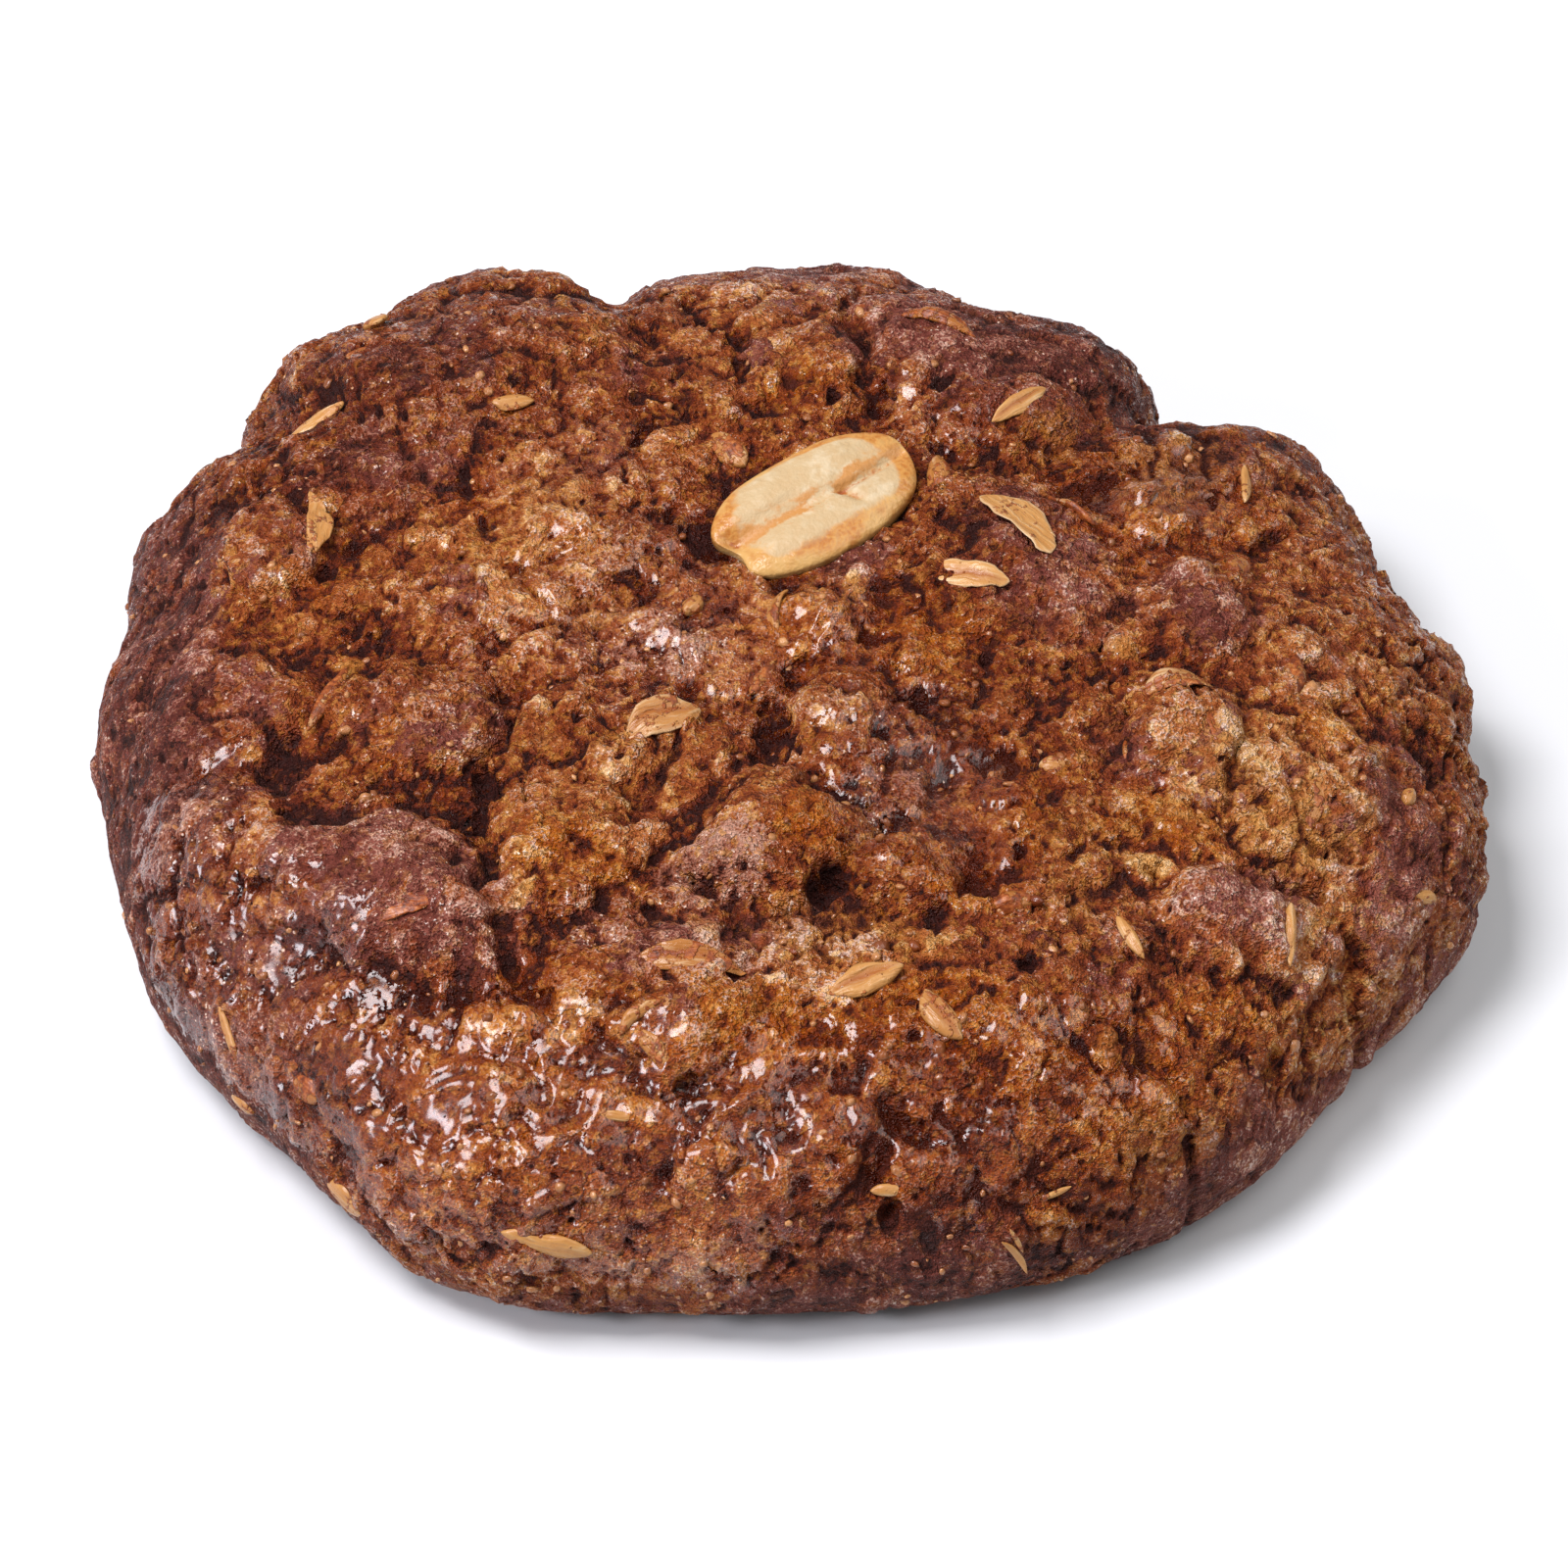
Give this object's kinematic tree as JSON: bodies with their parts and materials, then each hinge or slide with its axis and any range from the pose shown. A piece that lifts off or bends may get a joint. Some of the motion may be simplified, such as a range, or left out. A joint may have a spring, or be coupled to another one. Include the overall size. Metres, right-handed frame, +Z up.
{
  "type": "peanut cookie",
  "caption": "Round thick baked oat and nut cookie with a lumpy, cracked top, a rounded rim, a flat underside and a roasted peanut half in its top.",
  "frame": {"origin": "on the surface the cookie stands on, below the middle of its bounding box", "axes": "+Z up, through the cookie's thickness; the peanut half lies towards +Y"},
  "size_m": [0.0881, 0.0877, 0.019],
  "materials": {
    "baked_dough": "red-brown baked dough, rough and porous, with glossy syrup patches",
    "roasted_peanut": "cream roasted nut with golden toasted edges, satin",
    "oat_flakes": "toasted pale oat flakes, satin",
    "nut_crumbs": "golden crumbs of nuts and sugar, slightly glossy"
  },
  "bodies": {
    "root": {"cookie_body": "baked_dough", "peanut_half": "roasted_peanut"}
  },
  "joints": []
}
